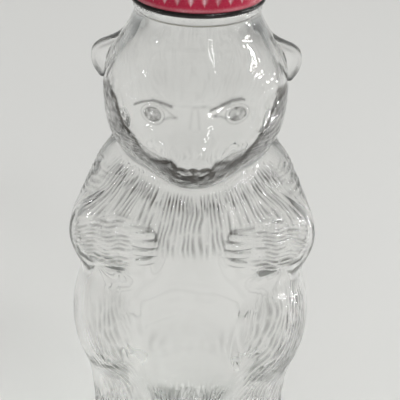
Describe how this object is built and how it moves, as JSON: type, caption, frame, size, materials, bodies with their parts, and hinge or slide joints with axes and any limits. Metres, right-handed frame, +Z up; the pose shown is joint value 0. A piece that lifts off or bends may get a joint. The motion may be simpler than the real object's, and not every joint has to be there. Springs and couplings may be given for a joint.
{
  "type": "bear bottle",
  "caption": "Hollow clear glass bottle moulded as a sitting bear, open at a threaded mouth, with a fluted metal screw cap and its liner.",
  "frame": {"origin": "centre of the bottle's box on the plane it stands on; the mouth's axis runs through it", "axes": "+Z up along the mouth's axis, the bear faces -Y, +X is to the right of someone who looks at the bear's face"},
  "size_m": [0.0834, 0.0807, 0.1879],
  "materials": {
    "glass": "clear polished glass",
    "cap_lacquer": "glossy red lacquer on tinplate",
    "liner_board": "matt pulpboard",
    "liner_facing": "coated paper"
  },
  "bodies": {
    "bottle": {"glass_bottle": "glass"},
    "liner": {"liner_board": "liner_board", "liner_facing": "liner_facing"},
    "cap": {"cap_shell": "cap_lacquer"}
  },
  "joints": [
    {"name": "cap_lift", "type": "slide", "parent": "bottle", "child": "liner", "axis": [0, 0, 1], "range_m": [0, 0.0128]},
    {"name": "cap_turn", "type": "hinge", "parent": "liner", "child": "cap", "pos_m": [0, 0, 0.18], "axis": [0, 0, 1], "range_deg": [0, 1080]}
  ],
  "couplings": [
    {"joint": "cap_lift", "follows": "cap_turn", "m_per_rad": 0.0006737}
  ]
}
